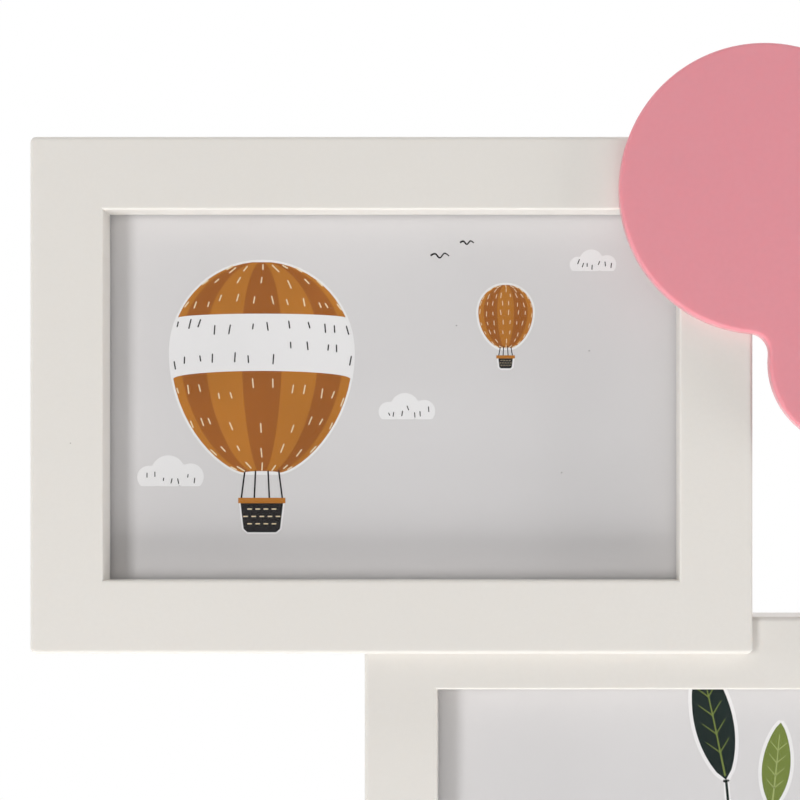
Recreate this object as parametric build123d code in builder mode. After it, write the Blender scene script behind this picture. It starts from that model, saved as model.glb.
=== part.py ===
from build123d import *

import os
from collections import namedtuple

# Collage photo frame for a wall: two small landscape frames side by side, a large one
# below them whose top rail they overlap, and a butterfly across the gap between them.
# Millimetres. +X is right, +Y goes into the wall, +Z is up. The origin is on the wall,
# midway between the middle notches of the two hangers.

# Picture sizes, and how far the rails cover them
small_print_width = 152.0
small_print_height = 102.0
large_print_width = 254.0
large_print_height = 203.0
side_lap = 3.0
end_lap = 4.0

# The rail that all three mouldings share
rail_width = 18.6
corner_radius = 1.5
outer_edge_radius = 1.2
sight_edge_radius = 0.6
skin = 3.0
outer_wall = 2.2
pocket_wall = 1.8
pocket_clearance = 0.5
rib_thickness = 1.6
rib_pitch = 30.0
rib_setback = 3.0

# Depths, counted from the face towards the wall
small_depth = 20.0
sight_depth = 8.0
sheet_thickness = 1.2
print_thickness = 0.3
board_thickness = 2.5
board_corner_radius = 1.0

# How the frames stand to each other
side_step = 84.5
tier_overlap = 9.2
pad_height = 1.0
pad_length = 12.0
pad_margin = 0.6
notch_clearance = 0.3

# Screws, all of one kind
screw_radius = 1.3
screw_head_radius = 2.6
screw_head_height = 1.3
screw_rim_height = 0.7
screw_crown_radius = 1.9
screw_thread_length = 6.0
screw_cover = 1.0
recess_length = 2.6
recess_width = 0.6
recess_depth = 0.7
pilot_clearance = 0.05
pilot_tip_clearance = 0.3
screw_hole_clearance = 0.2
driver_clearance = 0.3
boss_radius = 3.5

# Turn buttons that hold the backing boards
button_thickness = 1.5
button_pivot_radius = 4.0
button_tip_radius = 3.0
button_hold = 4.0
button_edge_chamfer = 0.3
button_bore_clearance = 0.1
button_gap = 0.2
button_head_gap = 0.1
button_wall_clearance = 1.4
button_spacing = 4.0
ridge_height = 0.8
ridge_width = 1.4
ridge_length = 3.4

# Sawtooth hangers
hanger_length = 44.0
hanger_width = 6.4
hanger_thickness = 0.8
hanger_rise = 1.6
hanger_seat = 3.8
hanger_edge_gap = 0.2
hanger_raised_length = 26.0
hanger_ramp_length = 2.4
hanger_bend_radius = 0.6
hanger_boss_rim = 0.4
tooth_depth = 1.5
tooth_pitch = 2.4
tooth_count = 9

# Butterfly
wing_thickness = 4.0
wing_edge_radius = 0.9
wing_cover = 34.1
wing_rise = 22.7
wing_middle_gap = 5.0
lower_wing_radius = 21.3
lower_wing_x = 19.0
lower_wing_fall = 7.2
wing_web_width = 20.0
wing_web_fall = 10.2
wing_hollow_radius = 5.0
wing_screw_share = 0.6
body_thickness = 3.6
body_edge_radius = 1.3
head_radius = 4.4
head_rise = 9.0
thorax_radius = 4.8
thorax_rise = 6.0
tail_radius = 2.2
tail_fall = 12.5
neck_hollow_radius = 2.5
body_pin_radius = 1.5
body_pin_length = 2.8
body_pin_clearance = 0.05
feeler_radius = 0.9
feeler_tip_radius = 1.8
feeler_reach = 12.0
feeler_rise = 27.0
feeler_bow = 2.6

# Overrun for cuts that leave the solid
overrun = 2.0

# Worked out from the values above
face_step = skin + pad_height
large_depth = small_depth - face_step
stack_depth = sight_depth + sheet_thickness + print_thickness + board_thickness
small_width = small_print_width - 2 * side_lap + 2 * rail_width
small_height = small_print_height - 2 * end_lap + 2 * rail_width
large_width = large_print_width - 2 * side_lap + 2 * rail_width
large_height = large_print_height - 2 * end_lap + 2 * rail_width

hanger_drop = outer_wall + hanger_edge_gap + hanger_width / 2
upper_top = hanger_drop + hanger_width / 2 - tooth_depth
upper_x = large_width / 2 + side_step - small_width / 2
upper_z = upper_top - small_height / 2
lower_top = upper_top - small_height + tier_overlap
lower_z = lower_top - large_height / 2
upper_inner_x = upper_x - small_width / 2
joint_middle_x = (upper_inner_x + large_width / 2) / 2
joint_quarter = (large_width / 2 - upper_inner_x) / 4

pivot_inset = outer_wall + button_pivot_radius + button_wall_clearance
button_reach = rail_width - pivot_inset - side_lap + button_hold
button_offset = hanger_length / 2 + button_reach + button_spacing
bore_radius = screw_radius + pilot_clearance
hole_radius = screw_radius + screw_hole_clearance
hanger_screw_x = hanger_length / 2 - hanger_width / 2

# The upper wings reach from beside the middle line to their cover of the frames
upper_wing_radius = (upper_inner_x + wing_cover - wing_middle_gap) / 2
upper_wing_x = wing_middle_gap + upper_wing_radius
upper_wing_z = upper_top + wing_rise - upper_wing_radius
lower_wing_z = upper_wing_z - upper_wing_radius - lower_wing_fall
web_top = upper_wing_z - wing_web_fall
thorax_z = web_top + thorax_rise
head_z = thorax_z + head_rise
tail_z = lower_wing_z - tail_fall

Frame = namedtuple("Frame", "name side x z print_width print_height depth button_xs")
Button = namedtuple("Button", "place x z inward")

frames = [
    Frame("upper_left", -1, -upper_x, upper_z,
          small_print_width, small_print_height, small_depth, [-button_offset]),
    Frame("upper_right", 1, upper_x, upper_z,
          small_print_width, small_print_height, small_depth, [button_offset]),
    Frame("lower", 0, 0, lower_z,
          large_print_width, large_print_height, large_depth, [-joint_middle_x, joint_middle_x]),
]


def layer(x, z, height):
    # a plane parallel to the wall, a height in front of it, that faces the room
    return Plane(origin=(x, -height, z), x_dir=(1, 0, 0), z_dir=(0, -1, 0))


def board_back(frame):
    # height of the backing board's back, and of the pocket wall's and the bosses' ends
    return frame.depth - stack_depth


def outer_size(frame):
    width = frame.print_width - 2 * side_lap + 2 * rail_width
    height = frame.print_height - 2 * end_lap + 2 * rail_width
    return width, height


def button_places(frame):
    # one button at the middle of each side rail, the others along the top and bottom rails
    width, height = outer_size(frame)
    side_x = width / 2 - pivot_inset
    end_z = height / 2 - pivot_inset
    places = [
        Button("left", frame.x - side_x, frame.z, (1, 0, 0)),
        Button("right", frame.x + side_x, frame.z, (-1, 0, 0)),
    ]
    for x in frame.button_xs:
        side = "" if len(frame.button_xs) == 1 else "_left" if x < 0 else "_right"
        places.append(Button("top" + side, frame.x + x, frame.z + end_z, (0, 0, -1)))
        places.append(Button("bottom" + side, frame.x + x, frame.z - end_z, (0, 0, 1)))
    return places


def wing_screw_places(side):
    # in the inner side rail and in the top rail of an upper frame, under the upper wing
    reach = upper_wing_radius * wing_screw_share
    rail_x = upper_inner_x + pivot_inset
    rail_z = upper_top - pivot_inset
    return [(side * (upper_wing_x + reach), rail_z), (side * rail_x, upper_wing_z - reach)]


def joining_screw_places(side):
    # through the covered part of the lower frame's top rail, between its wall and the overlap's edge
    z = lower_top - (outer_wall + tier_overlap) / 2
    return [(side * (joint_middle_x - joint_quarter), z), (side * (joint_middle_x + joint_quarter), z)]


def hanger_screw_places(side):
    z = upper_top - hanger_drop
    return [(side * upper_x - hanger_screw_x, z), (side * upper_x + hanger_screw_x, z)]


def boss_places(frame):
    # place, height of the end and radius of each boss in a moulding's channel
    back = board_back(frame)
    places = [(button.x, button.z, back, boss_radius) for button in button_places(frame)]
    if frame.side:
        hanger_boss_radius = hanger_width / 2 + hanger_boss_rim
        places += [(x, z, hanger_seat, hanger_boss_radius) for x, z in hanger_screw_places(frame.side)]
    return places


def skin_hole_places(frame):
    # an upper frame's lead into the wings, the lower frame's into both upper frames
    if frame.side:
        return wing_screw_places(frame.side)
    return joining_screw_places(-1) + joining_screw_places(1)


# Mouldings: a skin and an outer wall, a solid step that covers the print's edge, a low wall
# round the pocket, and a channel open to the wall that ribs cross
def make_moulding(frame):
    width, height = outer_size(frame)
    pocket_width = frame.print_width + 2 * pocket_clearance
    pocket_height = frame.print_height + 2 * pocket_clearance
    back = board_back(frame)
    rib_foot = back + rib_setback
    inner_face = frame.depth - skin
    base = layer(frame.x, frame.z, 0)

    with BuildPart() as moulding:
        with BuildSketch(base):
            RectangleRounded(width, height, corner_radius)
        extrude(amount=frame.depth)
        fillet(moulding.faces().sort_by(Axis.Y)[0].edges(), outer_edge_radius)

        # sight opening, with its front edge eased
        with BuildSketch(base):
            Rectangle(width - 2 * rail_width, height - 2 * rail_width)
        extrude(amount=frame.depth, mode=Mode.SUBTRACT)
        front = moulding.faces().sort_by(Axis.Y)[0]
        fillet(front.inner_wires()[0].edges(), sight_edge_radius)

        # channel, pocket, and the pocket wall cut down to the board's back
        with BuildSketch(base):
            Rectangle(width - 2 * outer_wall, height - 2 * outer_wall)
            Rectangle(pocket_width + 2 * pocket_wall, pocket_height + 2 * pocket_wall, mode=Mode.SUBTRACT)
        extrude(amount=inner_face, mode=Mode.SUBTRACT)
        with BuildSketch(base):
            Rectangle(pocket_width, pocket_height)
        extrude(amount=frame.depth - sight_depth, mode=Mode.SUBTRACT)
        with BuildSketch(base):
            Rectangle(width - 2 * outer_wall, height - 2 * outer_wall)
        extrude(amount=back, mode=Mode.SUBTRACT)

        # ribs across the channel, at an even pitch and through each button's boss
        across = max(2, round(pocket_width / rib_pitch))
        down = max(2, round(pocket_height / rib_pitch))
        with BuildSketch(layer(frame.x, frame.z, rib_foot)):
            with GridLocations(pocket_width / across, 0, across, 1):
                Rectangle(rib_thickness, height - outer_wall)
            with GridLocations(0, pocket_height / down, 1, down):
                Rectangle(width - outer_wall, rib_thickness)
            with Locations([(x, 0) for x in frame.button_xs]):
                Rectangle(rib_thickness, height - outer_wall)
            Rectangle(width - outer_wall, rib_thickness)
            Rectangle(pocket_width + pocket_wall, pocket_height + pocket_wall, mode=Mode.SUBTRACT)
        extrude(amount=inner_face - rib_foot)

        # bosses for the turn buttons and the hanger, each with a blind bore for its screw
        for x, z, height, radius in boss_places(frame):
            with BuildSketch(layer(x, z, height)):
                Circle(radius)
            extrude(amount=inner_face - height)
            with BuildSketch(layer(x, z, height)):
                Circle(bore_radius)
            extrude(amount=screw_thread_length + pilot_tip_clearance, mode=Mode.SUBTRACT)

        # holes through the skin for screws that go on into the piece in front, each with a
        # clear way for its head and the driver
        for x, z in skin_hole_places(frame):
            with BuildSketch(layer(x, z, back)):
                Circle(screw_head_radius + driver_clearance)
            extrude(amount=inner_face - back, mode=Mode.SUBTRACT)
            with BuildSketch(layer(x, z, inner_face)):
                Circle(hole_radius)
            extrude(amount=skin, mode=Mode.SUBTRACT)

        # where an upper frame lies on the lower one: a notch, and pads that the screws reach
        if frame.side:
            notch_outer_x = large_width / 2 + notch_clearance
            notch_inner_x = upper_inner_x - overrun
            notch_x = frame.side * (notch_outer_x + notch_inner_x) / 2
            notch_top = lower_top + notch_clearance
            notch_bottom = upper_top - small_height - overrun
            with BuildSketch(layer(notch_x, (notch_top + notch_bottom) / 2, 0)):
                Rectangle(notch_outer_x - notch_inner_x, notch_top - notch_bottom)
            extrude(amount=large_depth, mode=Mode.SUBTRACT)
            pad_foot = upper_top - small_height + outer_wall / 2
            pad_top = lower_top - pad_margin
            for x, z in joining_screw_places(frame.side):
                with BuildSketch(layer(x, (pad_foot + pad_top) / 2, large_depth)):
                    Rectangle(pad_length, pad_top - pad_foot)
                extrude(amount=pad_height)
                with BuildSketch(layer(x, z, large_depth)):
                    Circle(bore_radius)
                extrude(amount=pad_height + skin - screw_cover + pilot_tip_clearance, mode=Mode.SUBTRACT)
    return moulding.part


# Clear sheet, print and backing board lie on each other in the pocket
def make_panel(frame, height, thickness):
    with BuildPart() as panel:
        with BuildSketch(layer(frame.x, frame.z, height)):
            RectangleRounded(frame.print_width, frame.print_height, board_corner_radius)
        extrude(amount=thickness)
    return panel.part


# Turn button: a teardrop plate with a bore at its pivot and a finger ridge near its tip
def make_turn_button(frame, button):
    height = board_back(frame) - button_gap - button_thickness
    plane = Plane(origin=(button.x, -height, button.z), x_dir=button.inward, z_dir=(0, -1, 0))
    with BuildPart() as plate:
        with BuildSketch(plane):
            Circle(button_pivot_radius)
            with Locations((button_reach - button_tip_radius, 0)):
                Circle(button_tip_radius)
            make_hull()
        extrude(amount=button_thickness)
        chamfer(plate.faces().sort_by(Axis.Y)[-1].edges(), button_edge_chamfer)
        with BuildSketch(plane):
            Circle(screw_radius + button_bore_clearance)
        extrude(amount=button_thickness, mode=Mode.SUBTRACT)
        with BuildSketch(plane):
            with Locations((button_reach - button_tip_radius, 0)):
                SlotOverall(ridge_length, ridge_width, rotation=90)
        extrude(amount=-ridge_height)
    return plate.part


# Pan head screws with a cross recess; a seat is the height of the head's underside
def make_screws(places, seat, length):
    with BuildPart() as screws:
        for x, z in places:
            with BuildSketch(Plane(origin=(x, -seat, z))):
                with BuildLine():
                    Polyline(
                        (0, -length),
                        (screw_radius, -length),
                        (screw_radius, 0),
                        (screw_head_radius, 0),
                        (screw_head_radius, screw_rim_height),
                        (screw_crown_radius, screw_head_height),
                        (0, screw_head_height),
                        close=True,
                    )
                make_face()
            revolve(axis=Axis((x, -seat, z), (0, 1, 0)))
            with BuildSketch(layer(x, z, seat - screw_head_height)):
                Rectangle(recess_length, recess_width)
                Rectangle(recess_width, recess_length)
            extrude(amount=recess_depth, mode=Mode.SUBTRACT)
    return screws.part


# Sawtooth hanger: a bent steel strip, raised towards the wall in the middle, with V notches
# along its lower edge that rest on a nail
def make_hanger(side):
    x = side * upper_x
    middle_z = upper_top - hanger_drop
    lower_edge = middle_z - hanger_width / 2
    flat = hanger_thickness / 2 - hanger_seat
    raised = flat + hanger_rise
    raised_x = hanger_raised_length / 2
    ramp_x = raised_x + hanger_ramp_length
    tooth_row = tooth_pitch * tooth_count
    zigzag = [(-tooth_row / 2, -overrun)]
    for tooth in range(tooth_count):
        start = tooth * tooth_pitch - tooth_row / 2
        zigzag += [(start, 0), (start + tooth_pitch / 2, tooth_depth)]
    zigzag += [(tooth_row / 2, 0), (tooth_row / 2, -overrun)]

    with BuildPart() as strip:
        with BuildSketch(Plane(origin=(x, 0, lower_edge))):
            with BuildLine():
                FilletPolyline(
                    (-hanger_length / 2, flat),
                    (-ramp_x, flat),
                    (-raised_x, raised),
                    (raised_x, raised),
                    (ramp_x, flat),
                    (hanger_length / 2, flat),
                    radius=hanger_bend_radius,
                )
            trace(line_width=hanger_thickness)
        extrude(amount=hanger_width)
        with BuildSketch(layer(x, middle_z, 0)):
            SlotOverall(hanger_length, hanger_width)
        extrude(amount=hanger_seat + overrun, mode=Mode.INTERSECT)
        with BuildSketch(layer(x, middle_z, 0)):
            with Locations((-hanger_screw_x, 0), (hanger_screw_x, 0)):
                Circle(hole_radius)
        extrude(amount=hanger_seat + overrun, mode=Mode.SUBTRACT)
        with BuildSketch(layer(x, lower_edge, 0)):
            with BuildLine():
                Polyline(zigzag, close=True)
            make_face()
        extrude(amount=hanger_seat + overrun, mode=Mode.SUBTRACT)
    return strip.part


# Butterfly wings: one plate of four round lobes joined by a web, with rounded hollows between
def make_wings():
    with BuildPart() as wings:
        with BuildSketch(layer(0, 0, small_depth)):
            with Locations((-upper_wing_x, upper_wing_z), (upper_wing_x, upper_wing_z)):
                Circle(upper_wing_radius)
            with Locations((-lower_wing_x, lower_wing_z), (lower_wing_x, lower_wing_z)):
                Circle(lower_wing_radius)
            with Locations((0, (web_top + lower_wing_z) / 2)):
                Rectangle(wing_web_width, web_top - lower_wing_z)
            offset(amount=wing_hollow_radius, mode=Mode.REPLACE)
            offset(amount=-wing_hollow_radius, mode=Mode.REPLACE)
        extrude(amount=wing_thickness)
        fillet(wings.faces().sort_by(Axis.Y)[0].edges(), wing_edge_radius)
        for x, z in wing_screw_places(-1) + wing_screw_places(1):
            with BuildSketch(layer(x, z, small_depth)):
                Circle(bore_radius)
            extrude(amount=wing_thickness - screw_cover + pilot_tip_clearance, mode=Mode.SUBTRACT)
        with BuildSketch(layer(0, 0, small_depth + wing_thickness)):
            with Locations(body_pin_places()):
                Circle(body_pin_radius + body_pin_clearance)
        extrude(amount=-body_pin_length - pilot_tip_clearance, mode=Mode.SUBTRACT)
    return wings.part


def body_pin_places():
    # on the butterfly's middle line, over the web
    return [(0, web_top - thorax_radius), (0, lower_wing_z)]


# Butterfly body: a tapered bar with a round head and two bowed feelers, on two pins
def make_body():
    seat = small_depth + wing_thickness
    with BuildPart() as body:
        with BuildSketch(layer(0, 0, seat)):
            with Locations((0, thorax_z)):
                Circle(thorax_radius)
            with Locations((0, tail_z)):
                Circle(tail_radius)
            make_hull()
            with Locations((0, head_z)):
                Circle(head_radius)
            offset(amount=neck_hollow_radius, mode=Mode.REPLACE)
            offset(amount=-neck_hollow_radius, mode=Mode.REPLACE)
        extrude(amount=body_thickness)
        fillet(body.faces().sort_by(Axis.Y)[0].edges(), body_edge_radius)
        with BuildSketch(layer(0, 0, seat)):
            with Locations(body_pin_places()):
                Circle(body_pin_radius)
        extrude(amount=-body_pin_length)
        for side in (-1, 1):
            tip = (side * feeler_reach, head_z + feeler_rise)
            middle = (side * (feeler_reach / 2 - feeler_bow), head_z + feeler_rise / 2 + feeler_bow / 2)
            with BuildSketch(layer(0, 0, seat)):
                with BuildLine():
                    ThreePointArc((0, head_z), middle, tip)
                trace(line_width=2 * feeler_radius)
                with Locations(tip):
                    Circle(feeler_tip_radius)
            extrude(amount=2 * feeler_radius)
    return body.part


pieces = {}
for frame in frames:
    sheet_back = frame.depth - sight_depth - sheet_thickness
    buttons = button_places(frame)
    pieces[frame.name + "_frame"] = make_moulding(frame)
    pieces[frame.name + "_clear_sheet"] = make_panel(frame, sheet_back, sheet_thickness)
    pieces[frame.name + "_print"] = make_panel(frame, sheet_back - print_thickness, print_thickness)
    pieces[frame.name + "_backing_board"] = make_panel(frame, board_back(frame), board_thickness)
    for button in buttons:
        pieces[frame.name + "_turn_button_" + button.place] = make_turn_button(frame, button)
    pieces[frame.name + "_button_screws"] = make_screws(
        [(button.x, button.z) for button in buttons],
        board_back(frame) - button_gap - button_thickness - button_head_gap,
        button_head_gap + button_thickness + button_gap + screw_thread_length,
    )

for side, name in ((-1, "left_hanger"), (1, "right_hanger")):
    pieces[name] = make_hanger(side)
pieces["hanger_screws"] = make_screws(
    hanger_screw_places(-1) + hanger_screw_places(1),
    hanger_seat - hanger_thickness,
    hanger_thickness + screw_thread_length,
)
pieces["joining_screws"] = make_screws(
    joining_screw_places(-1) + joining_screw_places(1),
    large_depth - skin,
    skin + pad_height + skin - screw_cover,
)
pieces["butterfly_wings"] = make_wings()
pieces["butterfly_body"] = make_body()
pieces["butterfly_screws"] = make_screws(
    wing_screw_places(-1) + wing_screw_places(1),
    small_depth - skin,
    skin + wing_thickness - screw_cover,
)

os.makedirs("parts", exist_ok=True)
for name, piece in pieces.items():
    piece.label = name
    export_step(piece, "parts/" + name + ".step")
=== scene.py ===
import math
import random

import bmesh
import bpy
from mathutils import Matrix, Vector


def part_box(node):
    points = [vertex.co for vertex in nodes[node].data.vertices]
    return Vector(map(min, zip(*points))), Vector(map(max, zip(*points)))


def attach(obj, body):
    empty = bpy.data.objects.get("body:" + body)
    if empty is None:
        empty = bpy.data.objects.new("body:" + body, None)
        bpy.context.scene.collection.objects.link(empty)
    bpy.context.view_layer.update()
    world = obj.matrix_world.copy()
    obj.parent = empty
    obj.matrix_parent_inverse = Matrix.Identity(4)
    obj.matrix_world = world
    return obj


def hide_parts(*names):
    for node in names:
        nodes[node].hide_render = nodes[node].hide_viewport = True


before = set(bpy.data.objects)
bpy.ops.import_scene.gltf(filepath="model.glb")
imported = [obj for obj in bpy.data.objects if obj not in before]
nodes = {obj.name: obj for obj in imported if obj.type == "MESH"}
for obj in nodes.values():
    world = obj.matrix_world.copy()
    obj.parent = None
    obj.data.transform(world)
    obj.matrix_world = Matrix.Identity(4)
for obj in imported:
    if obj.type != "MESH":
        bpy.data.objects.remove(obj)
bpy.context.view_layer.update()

mm = 0.001
print("frame loaded with", len(nodes), "nodes")

# the camera stands level before the upper left frame, right of its middle and a little below it
cameraView = {
    "place": (-108.4, -444.0, -84.2),  # mm
    "lens": 75.38,
    "sensor": 36.0,
    "shift": (-0.1228, 0.1218),
    "near": 0.01,  # m
}


def placeCamera():
    data = bpy.data.cameras.new("camera")
    data.lens = cameraView["lens"]
    data.sensor_width = cameraView["sensor"]
    data.shift_x, data.shift_y = cameraView["shift"]
    data.clip_start = cameraView["near"]
    camera = bpy.data.objects.new("camera", data)
    camera.location = Vector(cameraView["place"]) * mm
    camera.rotation_euler = (math.radians(90), 0, 0)
    bpy.context.scene.collection.objects.link(camera)
    bpy.context.scene.camera = camera


placeCamera()
print("camera placed")


# nodes for the finishes; every texture is laid out in the piece's own space, in metres.
# in the finishes' dictionaries a texture is its scale and detail, then its stretch, turn and warp;
# a share is its low and high, then the texture's own range for them; a relief is its height in
# metres and its strength
def startFinish(name, colour, sockets=None):
    material = bpy.data.materials.new(name)
    material.use_nodes = True
    tree = material.node_tree
    shader = tree.nodes["Principled BSDF"]
    shader.inputs["Base Color"].default_value = (*colour, 1)
    for socket, value in (sockets or {}).items():
        shader.inputs[socket].default_value = value
    return material, tree, shader


def laidOut(tree, stretch=(1, 1, 1), turn=(0, 0, 0)):
    coords = tree.nodes.new("ShaderNodeTexCoord")
    mapping = tree.nodes.new("ShaderNodeMapping")
    mapping.inputs["Scale"].default_value = stretch
    mapping.inputs["Rotation"].default_value = turn
    tree.links.new(coords.outputs["Object"], mapping.inputs["Vector"])
    return mapping.outputs["Vector"]


def cloudy(tree, scale, detail=3, stretch=(1, 1, 1), turn=(0, 0, 0), warp=0):
    noise = tree.nodes.new("ShaderNodeTexNoise")
    noise.inputs["Scale"].default_value = scale
    noise.inputs["Detail"].default_value = detail
    noise.inputs["Distortion"].default_value = warp
    tree.links.new(laidOut(tree, stretch, turn), noise.inputs["Vector"])
    return noise.outputs["Fac"]


def cells(tree, scale):
    voronoi = tree.nodes.new("ShaderNodeTexVoronoi")
    voronoi.inputs["Scale"].default_value = scale
    tree.links.new(laidOut(tree), voronoi.inputs["Vector"])
    return voronoi


def spread(tree, source, low, high, start=0.3, end=0.7):
    # carries a texture from its own range to the one that a socket wants
    ranged = tree.nodes.new("ShaderNodeMapRange")
    for socket, value in (("From Min", start), ("From Max", end), ("To Min", low), ("To Max", high)):
        ranged.inputs[socket].default_value = value
    tree.links.new(source, ranged.inputs["Value"])
    return ranged.outputs["Result"]


def reckon(tree, operation, first, second):
    step = tree.nodes.new("ShaderNodeMath")
    step.operation = operation
    for socket, value in zip(step.inputs, (first, second)):
        if isinstance(value, (int, float)):
            socket.default_value = value
        else:
            tree.links.new(value, socket)
    return step.outputs["Value"]


def blendColours(tree, share, first, second):
    mix = tree.nodes.new("ShaderNodeMix")
    mix.data_type = "RGBA"
    tree.links.new(share, mix.inputs["Factor"])
    for socket, value in ((mix.inputs[6], first), (mix.inputs[7], second)):
        if isinstance(value, tuple):
            socket.default_value = (*value, 1)
        else:
            tree.links.new(value, socket)
    return mix.outputs[2]


def shaded(colour, factor):
    return tuple(channel * factor for channel in colour)


def paint(tree, shader, colour):
    tree.links.new(colour, shader.inputs["Base Color"])


def addRelief(tree, shader, height, distance, strength=1.0):
    # adds one more layer of relief below the ones the shader already has
    bump = tree.nodes.new("ShaderNodeBump")
    bump.inputs["Strength"].default_value = strength
    bump.inputs["Distance"].default_value = distance
    tree.links.new(height, bump.inputs["Height"])
    normal = shader.inputs["Normal"]
    if normal.is_linked:
        tree.links.new(normal.links[0].from_socket, bump.inputs["Normal"])
    tree.links.new(bump.outputs["Normal"], normal)


def rub(tree, shader, source, low, high):
    tree.links.new(spread(tree, source, low, high), shader.inputs["Roughness"])


def specks(tree, scale, size, share):
    # sparse round dots: only this share of the cells carries one at its middle
    solid = 0.6  # share of a dot's size within which it doesn't fade
    grid = cells(tree, scale)
    dots = spread(tree, grid.outputs["Distance"], 1, 0, size * solid, size)
    pick = tree.nodes.new("ShaderNodeSeparateColor")
    tree.links.new(grid.outputs["Color"], pick.inputs["Color"])
    chosen = reckon(tree, "GREATER_THAN", pick.outputs["Red"], 1 - share)
    return reckon(tree, "MULTIPLY", dots, chosen)


mouldingPlastic = {
    "colour": (0.735, 0.706, 0.664),
    "index": 1.5,
    "glow": 0.002,  # how far light goes below the skin, m
    "glowShare": 0.15,
    "glowTint": (1.0, 0.88, 0.75),
    "patches": (9, 0),
    "drift": (0.99, 1.01),  # darkest and lightest patches
    "grain": (900, 2),
    "grainShare": (0, 0.35),
    "fine": 0.965,  # shade of the grain
    "speck": (0.32, 0.29, 0.26),
    "specks": (240, 0.07, 0.007),  # cells to a metre, dot size, share of the cells with a dot
    "rubbed": (55, 5),
    "roughness": (0.33, 0.40),
    "peel": (620, 3),
    "peelRelief": (0.00002, 0.5),
    "sink": (35, 2),
    "sinkRelief": (0.0001, 0.25),
}


def makeMouldingPlastic():
    spec = mouldingPlastic
    colour = spec["colour"]
    darker, lighter = (shaded(colour, factor) for factor in spec["drift"])
    material, tree, shader = startFinish("warmWhitePlastic", colour, {
        "Subsurface Weight": spec["glowShare"],
        "Subsurface Radius": spec["glowTint"],
        "Subsurface Scale": spec["glow"],
        "IOR": spec["index"],
    })
    drift = blendColours(tree, spread(tree, cloudy(tree, *spec["patches"]), 0, 1), darker, lighter)
    grain = spread(tree, cloudy(tree, *spec["grain"]), *spec["grainShare"])
    fine = blendColours(tree, grain, drift, shaded(colour, spec["fine"]))
    dots = specks(tree, *spec["specks"])
    paint(tree, shader, blendColours(tree, dots, fine, spec["speck"]))
    rub(tree, shader, cloudy(tree, *spec["rubbed"]), *spec["roughness"])
    addRelief(tree, shader, cloudy(tree, *spec["peel"]), *spec["peelRelief"])
    addRelief(tree, shader, cloudy(tree, *spec["sink"]), *spec["sinkRelief"])
    return material


clearStyrene = {
    "colour": (0.985, 0.99, 0.99),
    "index": 1.5,
    "shine": (0.16, 0.16, 0.16),
    "streaks": (90, 4, (1, 1, 0.35)),
    "roughness": (0.01, 0.05),
    "waves": (12, 2),
    "wavesRelief": (0.00001, 0.4),
}


def makeClearStyrene():
    spec = clearStyrene
    material, tree, shader = startFinish("clearStyrene", spec["colour"], {
        "Transmission Weight": 1.0,
        "IOR": spec["index"],
        "Specular Tint": (*spec["shine"], 1),
    })
    rub(tree, shader, cloudy(tree, *spec["streaks"]), *spec["roughness"])
    addRelief(tree, shader, cloudy(tree, *spec["waves"]), *spec["wavesRelief"])
    # the print behind is lit through the sheet, by lamps and by the room alike
    letThrough = tree.nodes.new("ShaderNodeBsdfTransparent")
    rays = tree.nodes.new("ShaderNodeLightPath")
    surface = shader.outputs["BSDF"]
    for ray in ("Is Shadow Ray", "Is Diffuse Ray"):
        choice = tree.nodes.new("ShaderNodeMixShader")
        tree.links.new(rays.outputs[ray], choice.inputs["Fac"])
        tree.links.new(surface, choice.inputs[1])
        tree.links.new(letThrough.outputs["BSDF"], choice.inputs[2])
        surface = choice.outputs["Shader"]
    tree.links.new(surface, tree.nodes["Material Output"].inputs["Surface"])
    return material


hardboard = {
    "colour": (0.33, 0.212, 0.125),
    "shine": 0.25,
    "patches": (70, 4),
    "mottle": (0.88, 1.1),  # darkest and lightest patches
    "lengthways": (620, 3, (0.3, 1, 1.5), (0, 0, 0), 0.5),
    "fibre": (0.45, 0.32, 0.21),
    "fibreShare": (0, 0.5, 0.52, 0.75),
    "fibreRelief": (0.0001, 0.4),
    "crossways": (700, 3, (1.4, 1, 0.35), (0, 0.6, 0), 0.5),
    "dark": (0.13, 0.075, 0.042),
    "darkShare": (0, 0.55, 0.58, 0.78),
    "chips": (520, 0.22, 0.05),  # cells to a metre, dot size, share of the cells with a dot
    "chipShare": 0.45,
    "roughness": (0.66, 0.85),
    "screen": 4200,  # radians to a metre, for a wire every 1.5 mm
    "screenRelief": (0.00005, 0.5),
}


def makeHardboard():
    spec = hardboard
    colour = spec["colour"]
    darker, lighter = (shaded(colour, factor) for factor in spec["mottle"])
    material, tree, shader = startFinish("hardboard", colour, {"Specular IOR Level": spec["shine"]})
    ground = blendColours(tree, spread(tree, cloudy(tree, *spec["patches"]), 0, 1), darker, lighter)
    lengthways = cloudy(tree, *spec["lengthways"])
    crossways = cloudy(tree, *spec["crossways"])
    pale = blendColours(tree, spread(tree, lengthways, *spec["fibreShare"]), ground, spec["fibre"])
    flecked = blendColours(tree, spread(tree, crossways, *spec["darkShare"]), pale, spec["dark"])
    chips = reckon(tree, "MULTIPLY", specks(tree, *spec["chips"]), spec["chipShare"])
    paint(tree, shader, blendColours(tree, chips, flecked, spec["dark"]))
    rub(tree, shader, lengthways, *spec["roughness"])
    # the wire screen that the board was pressed on leaves its mesh in the rough side
    coords = tree.nodes.new("ShaderNodeSeparateXYZ")
    tree.links.new(laidOut(tree, (spec["screen"],) * 3), coords.inputs["Vector"])
    screen = reckon(
        tree, "MULTIPLY",
        reckon(tree, "SINE", coords.outputs["X"], 0),
        reckon(tree, "SINE", coords.outputs["Z"], 0))
    addRelief(tree, shader, screen, *spec["screenRelief"])
    addRelief(tree, shader, lengthways, *spec["fibreRelief"])
    return material


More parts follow.
